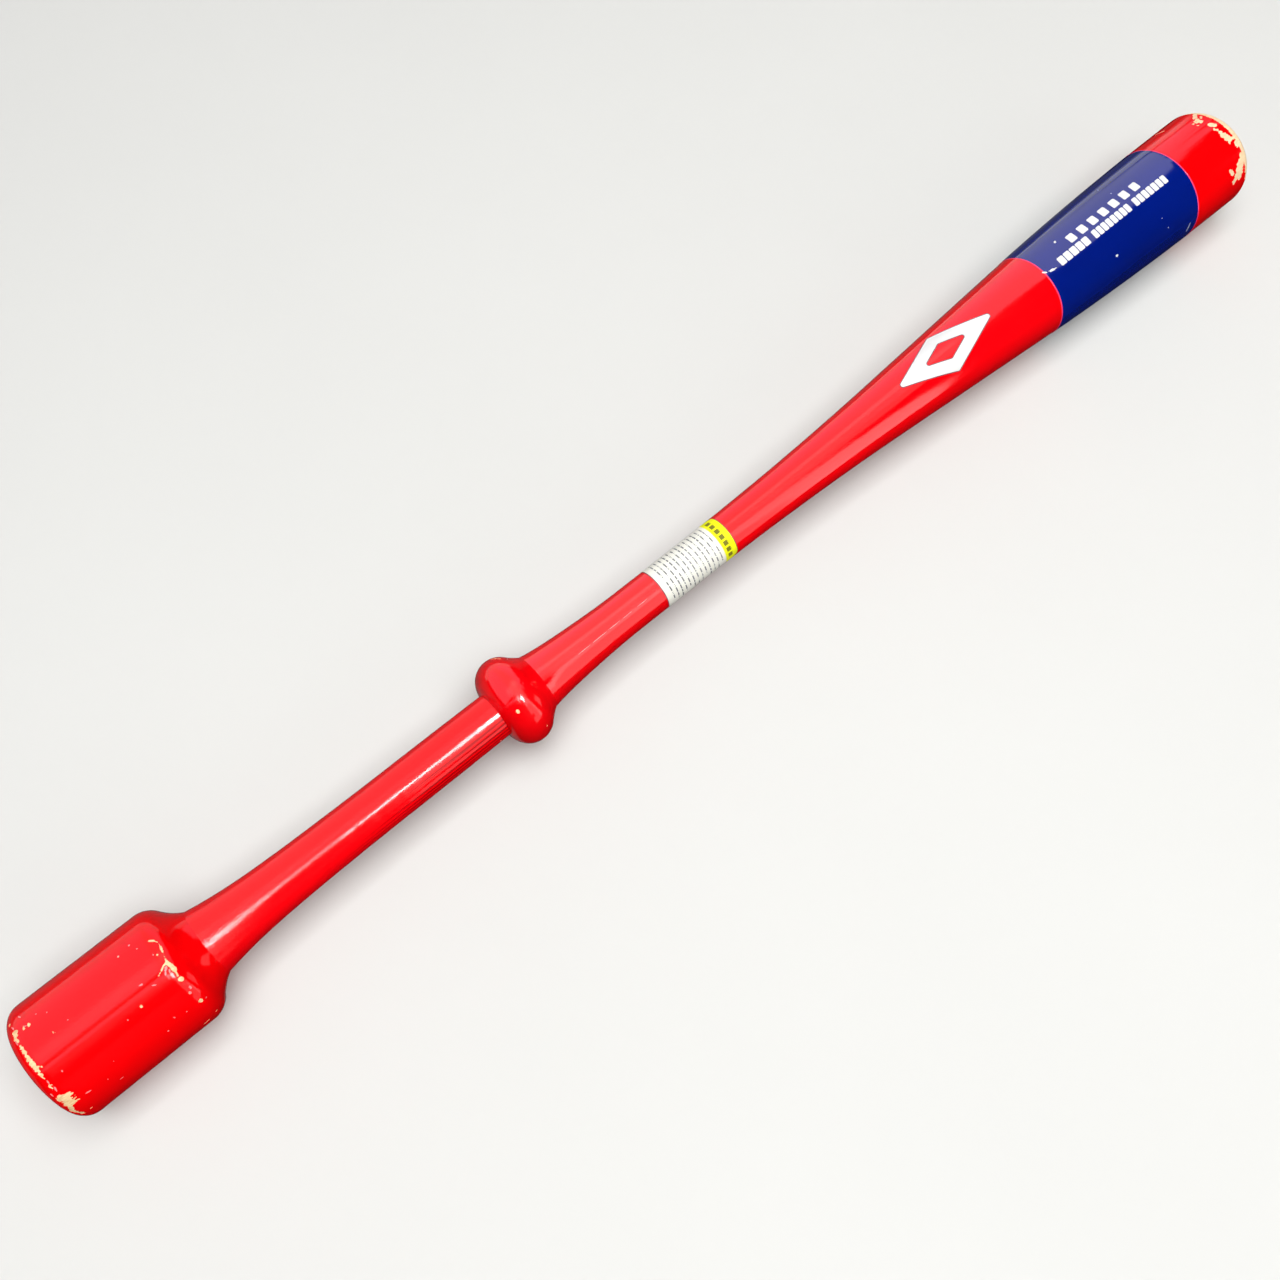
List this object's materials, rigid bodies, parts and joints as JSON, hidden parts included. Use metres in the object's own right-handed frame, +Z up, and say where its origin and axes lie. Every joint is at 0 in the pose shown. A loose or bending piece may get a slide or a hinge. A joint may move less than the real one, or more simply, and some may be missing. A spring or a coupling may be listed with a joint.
{
  "type": "swing trainer bat",
  "caption": "Wooden baseball swing-training bat with a bead ring below the handle, a second longer grip and a round counterweight block at its tail, red lacquered with a blue barrel band.",
  "frame": {"origin": "on the surface that the bat lies on, straight below its centre line at mid length", "axes": "+X along the bat from the counterweight to the barrel's tip, +Z up from the surface it lies on, marks facing up"},
  "size_m": [0.89, 0.066, 0.066],
  "materials": {
    "red_lacquered_wood": "high-gloss red lacquer over pale wood, chipped and worn through to bare wood at the end rims",
    "blue_lacquer": "high-gloss dark blue lacquer coat with raised edges",
    "label_white": "satin coated paper, printed with fine grey rules",
    "label_yellow": "satin coated paper, yellow-green print",
    "white_film": "gloss white film"
  },
  "bodies": {
    "root": {"barrel_and_handle": "red_lacquered_wood", "grip_ring": "red_lacquered_wood", "lower_grip": "red_lacquered_wood", "counterweight_block": "red_lacquered_wood", "blue_band": "blue_lacquer", "label_sheet": "label_white", "label_header": "label_yellow", "barrel_decal": "white_film", "band_marks_short": "white_film", "band_marks_long": "white_film"}
  },
  "joints": []
}
